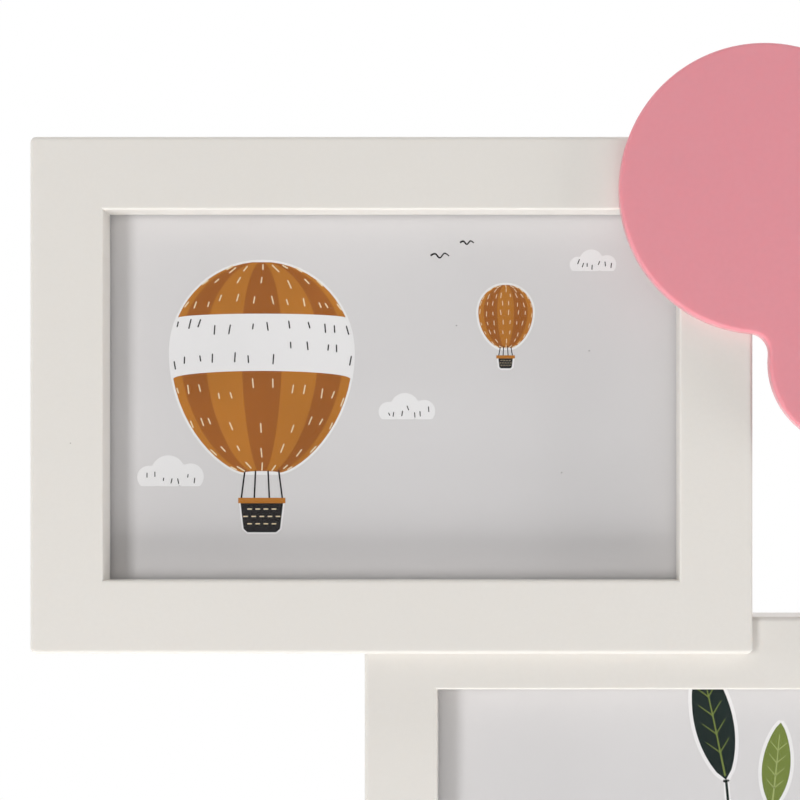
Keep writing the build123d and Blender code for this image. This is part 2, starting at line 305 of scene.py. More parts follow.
zincPlate = {
    "colour": (0.62, 0.64, 0.66),
    "crystals": 900,  # to a metre
    "spangle": (0.94, 1.03),  # darkest and lightest crystals
    "stains": (160, 4),
    "stainShare": (0, 0.25, 0.45, 0.8),
    "tarnish": (0.42, 0.41, 0.38),
    "rubbed": (240, 3),
    "roughness": (0.27, 0.38),
    "brushed": (1500, 3, (0.15, 1, 1)),
    "brushedRelief": (0.00001, 0.25),
}


def makeZincPlate():
    spec = zincPlate
    colour = spec["colour"]
    darker, lighter = (shaded(colour, factor) for factor in spec["spangle"])
    material, tree, shader = startFinish("zincPlate", colour, {"Metallic": 1.0})
    tone = tree.nodes.new("ShaderNodeSeparateColor")
    tree.links.new(cells(tree, spec["crystals"]).outputs["Color"], tone.inputs["Color"])
    plate = blendColours(tree, tone.outputs["Red"], darker, lighter)
    stains = spread(tree, cloudy(tree, *spec["stains"]), *spec["stainShare"])
    paint(tree, shader, blendColours(tree, stains, plate, spec["tarnish"]))
    rub(tree, shader, cloudy(tree, *spec["rubbed"]), *spec["roughness"])
    addRelief(tree, shader, cloudy(tree, *spec["brushed"]), *spec["brushedRelief"])
    return material


brassedSteel = {
    "colour": (0.83, 0.62, 0.27),
    "wear": (210, 5),
    "wearShare": (0, 0.5, 0.5, 0.8),
    "worn": (0.56, 0.42, 0.2),
    "rubbed": (420, 4, (0.12, 1, 1)),
    "roughness": (0.22, 0.4),
    "brushed": (1600, 3, (0.1, 1, 1)),
    "brushedRelief": (0.00001, 0.35),
}


def makeBrassedSteel():
    spec = brassedSteel
    material, tree, shader = startFinish("brassedSteel", spec["colour"], {"Metallic": 1.0})
    wear = spread(tree, cloudy(tree, *spec["wear"]), *spec["wearShare"])
    paint(tree, shader, blendColours(tree, wear, spec["colour"], spec["worn"]))
    rub(tree, shader, cloudy(tree, *spec["rubbed"]), *spec["roughness"])
    addRelief(tree, shader, cloudy(tree, *spec["brushed"]), *spec["brushedRelief"])
    return material


pinkPlastic = {
    "wings": (0.722, 0.274, 0.315),
    "body": (0.640, 0.150, 0.215),
    "glow": 0.0025,  # how far light goes below the skin, m
    "glowShare": 0.45,
    "glowTint": (1.0, 0.45, 0.45),
    "coat": (0.2, 0.2),  # weight and roughness
    "patches": (9, 0),
    "drift": (0.985, 1.015),  # darkest and lightest patches
    "grain": (700, 2),
    "grainShare": (0, 0.3),
    "fine": 0.95,  # shade of the grain
    "rubbed": (45, 1),
    "roughness": (0.29, 0.33),
    "peel": (520, 2),
    "peelRelief": (0.00001, 0.3),
}


def makePinkPlastic(name, colour):
    spec = pinkPlastic
    darker, lighter = (shaded(colour, factor) for factor in spec["drift"])
    coatWeight, coatRoughness = spec["coat"]
    material, tree, shader = startFinish(name, colour, {
        "Subsurface Weight": spec["glowShare"],
        "Subsurface Radius": spec["glowTint"],
        "Subsurface Scale": spec["glow"],
        "Coat Weight": coatWeight,
        "Coat Roughness": coatRoughness,
    })
    drift = blendColours(tree, spread(tree, cloudy(tree, *spec["patches"]), 0, 1), darker, lighter)
    grain = spread(tree, cloudy(tree, *spec["grain"]), *spec["grainShare"])
    paint(tree, shader, blendColours(tree, grain, drift, shaded(colour, spec["fine"])))
    rub(tree, shader, cloudy(tree, *spec["rubbed"]), *spec["roughness"])
    addRelief(tree, shader, cloudy(tree, *spec["peel"]), *spec["peelRelief"])
    return material


# the prints' paper and inks, dull as a matt litho print
printInks = {
    "paper": (0.68, 0.66, 0.66),
    "white": (0.83, 0.815, 0.815),
    "cream": (0.80, 0.65, 0.43),
    "ochre": (0.462, 0.172, 0.024),
    "deepOchre": (0.33, 0.105, 0.018),
    "dark": (0.014, 0.012, 0.013),
    "deepGreen": (0.006, 0.014, 0.012),
    "olive": (0.175, 0.225, 0.048),
    "paleOlive": (0.36, 0.42, 0.15),
    "speck": (0.30, 0.29, 0.28),
}
printWear = {
    # darkest and lightest wash, and how much the tooth of the paper shows
    "bare": (0.99, 1.0, 0.05),
    "inked": (0.92, 1.1, 0.35),
    "shine": 0.12,
    "wash": (60, 5),
    "pits": (2600, 2),
    "pitRange": (0.45, 0.75),
    "pitShade": 0.8,
    "rubbed": (900, 3),
    "roughness": (0.42, 0.6),
    "grain": (3000, 3),
    "grainRelief": (0.00001, 0.3),
}


def makePrintInk(name, colour):
    spec = printWear
    thin, thick, tooth = spec["bare" if name in ("paper", "white") else "inked"]
    material, tree, shader = startFinish("print_" + name, colour, {"Specular IOR Level": spec["shine"]})
    wash = spread(tree, cloudy(tree, *spec["wash"]), 0, 1)
    ground = blendColours(tree, wash, shaded(colour, thin), shaded(colour, thick))
    pits = spread(tree, cloudy(tree, *spec["pits"]), 0, tooth, *spec["pitRange"])
    paint(tree, shader, blendColours(tree, pits, ground, shaded(colour, spec["pitShade"])))
    rub(tree, shader, cloudy(tree, *spec["rubbed"]), *spec["roughness"])
    addRelief(tree, shader, cloudy(tree, *spec["grain"]), *spec["grainRelief"])
    return material


finishes = {
    "moulding": makeMouldingPlastic(),
    "sheet": makeClearStyrene(),
    "board": makeHardboard(),
    "zinc": makeZincPlate(),
    "brass": makeBrassedSteel(),
    "wings": makePinkPlastic("pinkPlastic", pinkPlastic["wings"]),
    "body": makePinkPlastic("deepPinkPlastic", pinkPlastic["body"]),
}
inks = {name: makePrintInk(name, colour) for name, colour in printInks.items()}
print("finishes made:", len(finishes), "and", len(inks), "inks")

# which finish each carried-over node gets, by the end of its name
nodeFinishes = {
    "clear_sheet": ("sheet", "clear_sheet"),
    "backing_board": ("board", "board"),
    "_screws": ("zinc", "screw"),
    "hanger": ("brass", "hanger"),
    "wings": ("wings", "butterfly"),
    "body": ("body", "butterfly_body"),
    "frame": ("moulding", "frame"),
}


def finishNodes():
    for name, piece in nodes.items():
        ending = next((end for end in nodeFinishes if name.endswith(end)), None)
        if "turn_button" in name:
            finish, slot = "zinc", "button"
        elif ending:
            finish, slot = nodeFinishes[ending]
        else:
            continue
        piece.data.materials.clear()
        piece.data.materials.append(finishes[finish])


finishNodes()
print("nodes finished")


# outlines in a print's own plane: mm right and up from its middle, and tilts in degrees
def tilted(x, z, across, up, tilt):
    # the point that lies across and up from (x, z), once tilted about it
    turned = math.radians(tilt)
    return (
        x + across * math.cos(turned) - up * math.sin(turned),
        z + across * math.sin(turned) + up * math.cos(turned))


def ellipse(x, z, across, up, steps):
    turns = [2 * math.pi * i / steps for i in range(steps)]
    return [(x + across * math.cos(angle), z + up * math.sin(angle)) for angle in turns]


def dash(x, z, length, width, tilt, steps=4):
    # a short straight stroke with round ends, tilted from upright
    reach, half = length / 2 - width / 2, width / 2
    points = []
    for end in (0, 1):
        for i in range(steps + 1):
            angle = math.pi * (end + i / steps)
            up = half * math.sin(angle) + (reach if end == 0 else -reach)
            points.append(tilted(x, z, half * math.cos(angle), up, tilt))
    return points


def curve(points, steps=8):
    # a smooth line through the points, by Catmull and Rom's rule
    ends = [points[0], *points, points[-1]]
    line = []
    for before, start, end, after in zip(ends, ends[1:], ends[2:], ends[3:]):
        for i in range(steps):
            t = i / steps
            line.append(tuple(
                0.5 * (2 * p1 + (p2 - p0) * t + (2 * p0 - 5 * p1 + 4 * p2 - p3) * t ** 2
                       + (3 * p1 - p0 - 3 * p2 + p3) * t ** 3)
                for p0, p1, p2, p3 in zip(before, start, end, after)))
    return line + [points[-1]]


def brush(line, width, tip=1.0):
    # a stroke along a line, that thins to a share of its width at the far end
    left, right = [], []
    for i, (x, z) in enumerate(line):
        ahead, behind = line[min(i + 1, len(line) - 1)], line[max(i - 1, 0)]
        dx, dz = ahead[0] - behind[0], ahead[1] - behind[1]
        size = math.hypot(dx, dz) or 1
        half = width / 2 * (1 + (tip - 1) * i / (len(line) - 1))
        left.append((x - dz / size * half, z + dx / size * half))
        right.append((x + dz / size * half, z - dx / size * half))
    return left + right[::-1]


def signedArea(outline):
    # twice the area, above zero for an outline that runs anticlockwise
    return sum(a[0] * b[1] - b[0] * a[1] for a, b in zip(outline, outline[1:] + outline[:1]))


def grown(outline, by):
    # the outline moved outwards, for the pale edge round a motif
    side = 1 if signedArea(outline) > 0 else -1
    points = []
    for i, (x, z) in enumerate(outline):
        behind, ahead = outline[i - 1], outline[(i + 1) % len(outline)]
        dx, dz = ahead[0] - behind[0], ahead[1] - behind[1]
        size = math.hypot(dx, dz) or 1
        points.append((x + side * dz / size * by, z - side * dx / size * by))
    return points


def clipped(outline, right, top):
    # what lies within these half sizes of the middle
    for axis, limit, sign in ((0, right, 1), (0, -right, -1), (1, top, 1), (1, -top, -1)):
        kept = []
        for a, b in zip(outline, outline[1:] + outline[:1]):
            da, db = sign * (limit - a[axis]), sign * (limit - b[axis])
            if da >= 0:
                kept.append(a)
            if (da >= 0) != (db >= 0):
                t = da / (da - db)
                kept.append((a[0] + (b[0] - a[0]) * t, a[1] + (b[1] - a[1]) * t))
        outline = kept
        if len(outline) < 3:
            return []
    return outline


# all in mm; nothing is printed on the margin
paperStock = {"thickness": 0.2, "inkStep": 0.012, "corner": 1.0, "margin": 0.4}


def addPrism(mesh, outline, back, front, slot):
    # a thin plate between two depths; its front is the face that shows
    rear = [mesh.verts.new((x * mm, back * mm, z * mm)) for x, z in outline]
    fore = [mesh.verts.new((x * mm, front * mm, z * mm)) for x, z in outline]
    if signedArea(outline) < 0:
        rear, fore = rear[::-1], fore[::-1]
    faces = [mesh.faces.new(fore), mesh.faces.new(rear[::-1])]
    for i in range(len(fore)):
        j = (i + 1) % len(fore)
        faces.append(mesh.faces.new((fore[j], fore[i], rear[i], rear[j])))
    for face in faces:
        face.material_index = slot


def roundedSheet(halfWidth, halfHeight, corner, steps=4):
    points = []
    for quarter, (sx, sz) in enumerate(((1, 1), (-1, 1), (-1, -1), (1, -1))):
        for i in range(steps + 1):
            angle = math.pi / 2 * (quarter + i / steps)
            points.append((
                sx * (halfWidth - corner) + corner * math.cos(angle),
                sz * (halfHeight - corner) + corner * math.sin(angle)))
    return points


def makePrint(name, node, shapes):
    # paper against the board, with each ink a hair in front of what it is printed over;
    # a shape is its outline, its ink and its level above the paper
    low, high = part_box(node)
    x, z = (low.x + high.x) / 2 / mm, (low.z + high.z) / 2 / mm
    halfWidth, halfHeight = (high.x - low.x) / 2 / mm, (high.z - low.z) / 2 / mm
    back = high.y / mm
    face = back - paperStock["thickness"]
    names = ["paper"] + sorted({ink for outline, ink, level in shapes})
    mesh = bmesh.new()
    sheet = [(x + a, z + b) for a, b in roundedSheet(halfWidth, halfHeight, paperStock["corner"])]
    addPrism(mesh, sheet, back, face, 0)
    margin = paperStock["margin"]
    for outline, ink, level in shapes:
        kept = clipped(outline, halfWidth - margin, halfHeight - margin)
        if kept:
            moved = [(x + a, z + b) for a, b in kept]
            addPrism(mesh, moved, face, face - level * paperStock["inkStep"], names.index(ink))
    mesh.normal_update()
    bmesh.ops.triangulate(mesh, faces=[f for f in mesh.faces if len(f.verts) > 4])
    data = bpy.data.meshes.new(name)
    mesh.to_mesh(data)
    mesh.free()
    for ink in names:
        data.materials.append(inks[ink])
    piece = bpy.data.objects.new(name, data)
    bpy.context.scene.collection.objects.link(piece)
    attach(piece, "frames")
    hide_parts(node)


balloonPrint = {
    "middle": (-34.0, 11.5),
    "radius": 23.5,
    "mouth": (4.6, -31.0),  # half width, and height from the middle
    "narrowing": 1.35,  # how soon it draws in towards the mouth
    "gores": 7,
    "halo": 0.55,
    "bulge": 0.09,  # how far the rows of strokes bow upwards, as a share of the half width
    "band": (0.375, 0.57),  # from the crown to the mouth, as shares
    "rows": (9, 0.12, 0.1),  # count of rows of strokes, share of the way down of the first, step
    "pairs": (0.25, 0.72),  # the shares between which a gore is wide enough for two in a row
    "pairShare": 0.24,  # how far these two lie from the gore's middle, as a share of its width
    "stroke": (1.5, 2.7),  # least and greatest length
    "strokeWidth": 0.34,
    "scatter": (0.02, 0.1, 9),  # share of the way down, share of a gore's width, and degrees
    "basket": (5.6, 4.6, 8.4),  # half widths at the rim and the foot, and height
    "basketDrop": 7.0,
    "basketHalo": 0.45,
    "corner": 0.9,  # how far the basket's corners are cut back
    "rimBand": (0.5, 0.9),  # how far it stands out past the basket, and its depth below the rim
    "ropes": (-0.95, -0.35, 0.35, 0.95),  # shares of the half widths that they join
    "ropeEnds": (0.6, 0.2),  # how far above the mouth and the rim they end
    "ropeWidth": 0.42,
    "weave": (2.1, 1.9, 2.4),  # pitch across and down, and depth of the first row
    "weaveRows": (4, 5, 4),
    "weaveDash": (1.25, 0.3),
    "far": {"middle": (29.0, 22.0), "size": 0.3, "basketSize": 0.34, "gores": 5},
    "clouds": ((-57.0, -21.0, 1.0), (4.0, -4.0, 0.85), (52.0, 34.0, 0.7)),  # place and size
    "birds": ((12.0, 36.0, 2.4), (19.0, 39.5, 1.8)),  # place and half span
    "specks": ((16.3, 18.5), (50.6, 12.0), (43.5, -19.5)),
    "speckSize": (0.22, 0.18),
}


def balloonSide(t, radius, mouthHalf, mouthZ):
    # half width and height of the envelope at a share of the way from its crown to its mouth
    if t < 0.5:
        angle = math.pi * t
        return radius * math.sin(angle), radius * math.cos(angle)
    angle = math.pi * (t - 0.5)
    drawnIn = math.cos(angle) ** balloonPrint["narrowing"]
    return mouthHalf + (radius - mouthHalf) * drawnIn, mouthZ * math.sin(angle)


def drawBalloon(x, z, size, gores, seed, banded):
    draw = random.Random(seed)
    spec = balloonPrint
    radius = spec["radius"] * size
    mouthHalf, mouthZ = (value * size for value in spec["mouth"])
    edgeSteps = 30  # from the crown to the mouth
    shapes = []

    def at(t, longitude):
        half, height = balloonSide(t, radius, mouthHalf, mouthZ)
        bulge = spec["bulge"] * min(1, 2 * t) ** 2
        return x + half * math.sin(longitude), z + height + bulge * half * math.cos(longitude)

    edge = [at(i / edgeSteps, -math.pi / 2) for i in range(edgeSteps + 1)]
    edge += [at(i / edgeSteps, math.pi / 2) for i in range(edgeSteps, 0, -1)]
    shapes.append((grown(edge, spec["halo"]), "white", 1))
    turns = [math.pi * (i / gores - 0.5) for i in range(gores + 1)]
    for i, (west, east) in enumerate(zip(turns, turns[1:])):
        side = [at(k / edgeSteps, west) for k in range(1, edgeSteps + 1)]
        side += [at(k / edgeSteps, east) for k in range(edgeSteps, 0, -1)]
        shapes.append((side, "ochre" if i % 2 == 0 else "deepOchre", 2))
    upper, lower = spec["band"]
    if banded:
        steps, sideSteps = 24, 8
        sweep = [math.pi * (k / steps - 0.5) for k in range(steps + 1)]
        drop = [upper + (lower - upper) * k / sideSteps for k in range(1, sideSteps)]
        band = [at(upper, longitude) for longitude in sweep]
        band += [at(t, math.pi / 2) for t in drop]
        band += [at(lower, longitude) for longitude in sweep[::-1]]
        band += [at(t, -math.pi / 2) for t in drop[::-1]]
        shapes.append((band, "white", 3))
    # short strokes that follow the gores; a small balloon's are larger for its size
    rows, first, step = spec["rows"]
    wideFrom, wideTo = spec["pairs"]
    down, across, lean = spec["scatter"]
    width = spec["strokeWidth"] * size ** 0.5
    ahead = 0.02  # share further down that gives a stroke its direction
    for west, east in zip(turns, turns[1:]):
        middle = (west + east) / 2
        for k in range(rows):
            t = first + step * k + draw.uniform(-down, down)
            ink = "dark" if banded and upper < t < lower else "cream"
            isWide = wideFrom < t < wideTo and abs(middle) < 1
            for share in (-spec["pairShare"], spec["pairShare"]) if isWide else (0,):
                longitude = middle + (east - west) * (share + draw.uniform(-across, across))
                a, b = at(t, longitude), at(t + ahead, longitude)
                tilt = math.degrees(math.atan2(b[0] - a[0], a[1] - b[1])) + draw.uniform(-lean, lean)
                length = draw.uniform(*spec["stroke"]) * size ** 0.5
                shapes.append((dash(*a, length, width, tilt), ink, 4))
    return shapes, (mouthHalf, z + mouthZ)


def drawBasket(x, mouthHalf, mouthZ, size):
    spec = balloonPrint
    rim, foot, height = (value * size for value in spec["basket"])
    top = mouthZ - spec["basketDrop"] * size
    corners = [(-rim, top), (-foot, top - height), (foot, top - height), (rim, top)]
    outline = []
    for i, (a, b) in enumerate(corners):
        # corners eased by two points each
        for nextX, nextZ in (corners[i - 1], corners[(i + 1) % 4]):
            reach = math.hypot(nextX - a, nextZ - b)
            outline.append((
                x + a + (nextX - a) / reach * spec["corner"] * size,
                b + (nextZ - b) / reach * spec["corner"] * size))
    shapes = [(grown(outline, spec["basketHalo"]), "white", 1), (outline, "dark", 2)]
    ropeTop, ropeFoot = spec["ropeEnds"]
    for share in spec["ropes"]:
        rope = [(x + share * mouthHalf, mouthZ + ropeTop), (x + share * rim, top + ropeFoot)]
        shapes.append((brush(rope, spec["ropeWidth"] * size ** 0.5), "dark", 2))
    out, deep = spec["rimBand"]
    left, right, upper, lower = x - rim - out, x + rim + out, top + out, top - deep * size
    band = [(left, upper), (left, lower), (right, lower), (right, upper)]
    shapes.append((band, "ochre", 3))
    across, down, first = spec["weave"]
    length, width = (value * size for value in spec["weaveDash"])
    for row, count in enumerate(spec["weaveRows"]):
        b = top - (first + down * row) * size
        for k in range(count):
            a = x + (k - (count - 1) / 2) * across * size
            shapes.append((dash(a, b, length, width, 90), "cream", 3))
    return shapes


def cloudShape(x, z, puffs, base, steps=56):
    # the outline over a row of round puffs, flat below
    left = min(a - r for a, b, r in puffs)
    right = max(a + r for a, b, r in puffs)
    upper, lower = [], []
    for i in range(steps + 1):
        across = (left + right) / 2 - (right - left) / 2 * math.cos(math.pi * i / steps)
        spans = []
        for a, b, r in puffs:
            if abs(across - a) <= r + 1e-9:
                spans.append((b, math.sqrt(max(r * r - (across - a) ** 2, 0))))
        top = max(b + half for b, half in spans)
        bottom = max(min(b - half for b, half in spans), base)
        upper.append((x + across, z + top))
        lower.append((x + across, z + min(bottom, top - 0.02)))
    return upper + lower[::-1]


cloudPrint = {
    "puffs": ((-6.2, 0.3, 3.0), (-1.2, 1.6, 4.4), (4.6, 0.5, 3.4)),  # place and radius
    "base": -2.0,
    "marks": (7, -6.4, 2.0, 0.4),  # count, place of the first, step and scatter
    "markHeights": (-0.8, 1.6),
    "markLengths": (0.9, 1.5),
    "markWidth": 0.26,
    "markTilt": 25,
}
birdPrint = {
    # the line of its wings, in half spans
    "line": ((-1, 0.25), (-0.5, 0.45), (0, 0), (0.5, 0.5), (1, 0.2)),
    "stroke": (0.5, 0.6),  # width, and the share of it that is left at the far tip
}


def drawCloud(x, z, size, seed):
    draw = random.Random(seed)
    spec = cloudPrint
    puffs = [tuple(value * size for value in puff) for puff in spec["puffs"]]
    shapes = [(cloudShape(x, z, puffs, spec["base"] * size), "white", 1)]
    count, first, step, scatter = spec["marks"]
    lean = spec["markTilt"]
    for k in range(count):
        a = x + (first + step * k) * size + draw.uniform(-scatter, scatter)
        b = z + draw.uniform(*spec["markHeights"]) * size
        length, tilt = draw.uniform(*spec["markLengths"]), draw.uniform(-lean, lean)
        shapes.append((dash(a, b, length, spec["markWidth"], tilt), "dark", 2))
    return shapes


def drawBird(x, z, span):
    # two bowed wings that meet at (x, z)
    line = curve([(x + a * span, z + b * span) for a, b in birdPrint["line"]], 5)
    return [(brush(line, *birdPrint["stroke"]), "dark", 1)]


def drawFlight():
    x, z = balloonPrint["middle"]
    shapes, (mouthHalf, mouthZ) = drawBalloon(x, z, 1.0, balloonPrint["gores"], 11, True)
    shapes += drawBasket(x, mouthHalf, mouthZ, 1.0)
    far = balloonPrint["far"]
    x, z = far["middle"]
    small, (mouthHalf, mouthZ) = drawBalloon(x, z, far["size"], far["gores"], 12, False)
    shapes += small + drawBasket(x, mouthHalf, mouthZ, far["basketSize"])
    for seed, cloud in enumerate(balloonPrint["clouds"], 21):
        shapes += drawCloud(*cloud, seed)
    for bird in balloonPrint["birds"]:
        shapes += drawBird(*bird)
    for x, z in balloonPrint["specks"]:
        shapes.append((ellipse(x, z, *balloonPrint["speckSize"], 8), "speck", 1))
    return shapes


boatPrint = {
    "middle": 14.0,
    "water": -27.0,
    # right of the middle and up from the water
    "stern": (-24.0, 10.0),
    "keel": ((-18.0, 1.5), (-12.0, -2.5), (12.0, -2.5), (19.0, 2.5)),
    "bow": (28.0, 13.5),
    "deck": (9.6, 10.4),
    "planks": {"count": 11, "place": (-17, 3.6), "step": 3.7, "scatter": 1.2, "length": 1.5},
    "foot": 13.2,  # height of the sails' foot above the water
    "mast": (-3.4, 56.0),  # its ends, up from the sails' foot
    "mastStroke": (1.1, 0.6),  # width, and the share of it that is left at the head
    "halo": 0.5,
    "stitchWidth": 0.34,
    "sun": (-42.0, 24.0, 9.0),  # place and radius
    "rays": (14, 12.4, 3.2, 0.6),  # count, distance from the sun's middle, length and width
    "waves": ((-60, 62, 4.0), (-66, 50, 8.4), (-52, 66, 12.8)),  # start, end, drop below the water
    "waveStroke": (0.8, 0.7),
    "ripple": (0.9, 0.62, 1.7),  # height, radians to a mm, shift from row to row
    "cloud": (50.0, 33.0, 0.95),
    "bird": (-14.0, 36.0, 2.6),
}
sails = (
    {
        "ink": "ochre",
        # lower corner at the mast, outer edge from the head down, outer corner
        "outline": ((1.8, 0), (1.8, 53), (9.5, 27), (24.0, 1.5), (23.0, 0)),
        "rows": (9, 4, 5.2),  # count of rows of stitches, height of the first, pitch
        "reach": (21.0, 10.5, 1.25),  # length of the first row, and how the others fall off
        "room": 3.4,  # length of row that a stitch takes
        "places": (3.4, 3.5, 0.5),  # place of a row's first stitch, step and scatter
        "lengths": (1.6, 2.6),
        "tilts": (-6, 14),
    },
    {
        "ink": "deepOchre",
        "outline": ((-1.8, 2), (-1.8, 46), (-6.0, 22), (-17.0, 3.0), (-16.0, 2)),
        "rows": (7, 6, 5.0),
        "reach": (13.0, 8.4, 1.3),
        "room": 3.6,
        "places": (-3.8, -3.6, 0.4),
        "lengths": (1.4, 2.3),
        "tilts": (-14, 6),
    },
)


def stitchSail(draw, x, foot, sail):
    # rows of pale strokes, a little out of line and fewer towards the head
    count, first, pitch = sail["rows"]
    reach, fallOff, power = sail["reach"]
    start, step, scatter = sail["places"]
    rise = 0.8  # scatter up and down
    shapes = []
    for row in range(count):
        rowLength = reach * (1 - row / fallOff) ** power
        for k in range(max(1, int(rowLength / sail["room"]))):
            a = x + start + step * k + draw.uniform(-scatter, scatter)
            b = foot + first + pitch * row + draw.uniform(-rise, rise)
            length, tilt = draw.uniform(*sail["lengths"]), draw.uniform(*sail["tilts"])
            shapes.append((dash(a, b, length, boatPrint["stitchWidth"], tilt), "cream", 3))
    return shapes


def drawBoat():
    draw = random.Random(31)
    spec = boatPrint
    x, water = spec["middle"], spec["water"]
    stern, *keel, bow, deck = [
        (x + a, water + b) for a, b in (spec["stern"], *spec["keel"], spec["bow"], spec["deck"])]
    hull = curve([stern, *keel, bow], 6) + curve([bow, deck, stern], 6)[1:-1]
    shapes = [(grown(hull, spec["halo"]), "white", 1), (hull, "dark", 2)]
    foot = water + spec["foot"]
    mast = [(x, foot + end) for end in spec["mast"]]
    shapes.append((brush(mast, *spec["mastStroke"]), "dark", 2))
    for sail in sails:
        tack, *leech, clew = [(x + a, foot + b) for a, b in sail["outline"]]
        cloth = [tack, *curve(leech, 8), clew]
        shapes += [(grown(cloth, spec["halo"]), "white", 1), (cloth, sail["ink"], 2)]
    for sail in sails:
        shapes += stitchSail(draw, x, foot, sail)
    planks = spec["planks"]
    left, height = planks["place"]
    for k in range(planks["count"]):
        b = water + height + draw.uniform(-planks["scatter"], planks["scatter"])
        plank = dash(x + left + planks["step"] * k, b, planks["length"], spec["stitchWidth"], 90)
        shapes.append((plank, "cream", 3))
    sunX, sunZ, sunRadius = spec["sun"]
    shapes.append((ellipse(sunX, sunZ, sunRadius, sunRadius, 48), "ochre", 1))
    count, distance, length, width = spec["rays"]
    for k in range(count):
        angle = 2 * math.pi * k / count
        a, b = sunX + distance * math.cos(angle), sunZ + distance * math.sin(angle)
        shapes.append((dash(a, b, length, width, math.degrees(angle) - 90), "deepOchre", 1))
    swell, turn, shift = spec["ripple"]
    for row, (start, stop, drop) in enumerate(spec["waves"]):
        steps = range(start, stop + 1)
        line = [(a, water - drop + swell * math.sin(a * turn + row * shift)) for a in steps]
        ink = "deepGreen" if row == 1 else "olive"
        shapes.append((brush(line, *spec["waveStroke"]), ink, 3))
    return shapes + drawCloud(*spec["cloud"], 33) + drawBird(*spec["bird"])


leafPrint = {
    "halo": 0.9,
    "pairStep": 0.6,  # how many levels each two stems lie above the two before them
    "fullness": (0.92, 0.72),  # powers that set where a leaf is widest and how full it is
    "tip": 0.03,  # half width at its ends
    "midVein": ((0.03, 0), (0.5, 0.01), (0.86, 0)),  # shares of the leaf's length and width
    "midVeinStroke": (0.5, 0.4),  # width, and the share of it that is left at the end
    "sideVeins": (4, 0.22, 0.15),  # count of pairs, share along the leaf of the first, step
    "sideVeinReach": (0.1, 0.3),  # shares of the leaf's length and width
    "sideVeinStroke": (0.32, 0.5),
    "stemHalo": (2.6, 0.6),
    "stemStroke": (1.3, 0.5),
    "leafPlaces": (0.2, 0.74),  # share along the stem of the first leaf, and share that they take
    "leafSizes": (0.72, 0.2),  # least share of the full size, and how much more at mid stem
    "leafTurn": 46,  # degrees from the stem
    # points on a stem, then length, width and count of its leaves, ink, and lean of its end leaf
    "stems": (
        ([(-14, -99), (-48, -76), (-80, -42), (-98, 8)], 27.0, 8.8, 8, "deepGreen", 20),
        ([(22, -99), (52, -74), (84, -40), (101, 10)], 27.0, 8.8, 8, "olive", -20),
        ([(8, -99), (12, -55), (18, 0), (16, 60)], 24.0, 8.4, 8, "olive", 4),
        ([(-6, -99), (-22, -60), (-40, -10), (-49.0, 73)], 33.0, 10.2, 9, "deepGreen", 12),
        ([(14, -99), (26, -62), (44, -8), (52, 66)], 33.0, 10.2, 9, "deepGreen", -9),
        ([(2, -99), (-6, -58), (-24, 6), (-37.0, 66)], 22.0, 7.4, 10, "olive", -6),
    ),
}


def leafShape(x, z, length, width, lean, steps=14):
    # base at the point, tip along the lean, fullest near the middle
    forward, full = leafPrint["fullness"]
    right, left = [], []
    for i in range(steps + 1):
        t = i / steps
        half = leafPrint["tip"]
        if 0 < t < 1:
            half = width / 2 * math.sin(math.pi * t ** forward) ** full
        right.append(tilted(x, z, half, length * t, lean))
        left.append(tilted(x, z, -half, length * t, lean))
    return right + left[::-1]


def drawLeaf(x, z, length, width, lean, ink, level):
    spec = leafPrint
    outline = leafShape(x, z, length, width, lean)
    veinInk = "paleOlive" if ink == "olive" else "olive"

    def along(t, across):
        return tilted(x, z, across * width, t * length, lean)

    shapes = [(grown(outline, spec["halo"]), "white", level), (outline, ink, level + 1)]
    midVein = brush([along(*point) for point in spec["midVein"]], *spec["midVeinStroke"])
    shapes.append((midVein, veinInk, level + 2))
    count, first, step = spec["sideVeins"]
    rise, reach = spec["sideVeinReach"]
    for k in range(count):
        t = first + step * k
        for side in (-1, 1):
            sideVein = brush([along(t, 0), along(t + rise, side * reach)], *spec["sideVeinStroke"])
            shapes.append((sideVein, veinInk, level + 2))
    return shapes


def drawStem(points, length, width, count, ink, lean, level):
    spec = leafPrint
    line = curve(points, 24)
    shapes = [
        (brush(line, *spec["stemHalo"]), "white", level),
        (brush(line, *spec["stemStroke"]), ink, level + 1),
    ]
    first, taken = spec["leafPlaces"]
    least, more = spec["leafSizes"]
    for k in range(count):
        i = int((first + taken * k / count) * (len(line) - 1))
        x, z = line[i]
        ahead = line[i + 1]
        heading = math.degrees(math.atan2(x - ahead[0], ahead[1] - z))
        turned = heading + (spec["leafTurn"] if k % 2 else -spec["leafTurn"])
        shrink = least + more * math.sin(math.pi * (k + 1) / (count + 1))
        shapes += drawLeaf(x, z, length * shrink, width * shrink, turned, ink, level)
    return shapes + drawLeaf(*line[-1], length, width, lean, ink, level)


def drawLeaves():
    shapes = []
    for rank, stem in enumerate(leafPrint["stems"]):
        shapes += drawStem(*stem, 1 + leafPrint["pairStep"] * (rank // 2))
    return shapes


berryPrint = {
    "places": (
        (-70, 40), (-64, 52), (-78, 56),
        (76, 52), (84, 62), (70, 66),
        (-8, 84), (0, 76), (6, 88),
        (112, -60), (-112, -62),
    ),
    "radius": (2.2, 3.2),
    "halo": 0.8,
    "gleam": (-0.35, 0.3, 0.7),  # place and length of the pale stroke on it, in radii
    "gleamWidth": 0.4,
    "gleamTilt": 35,
}


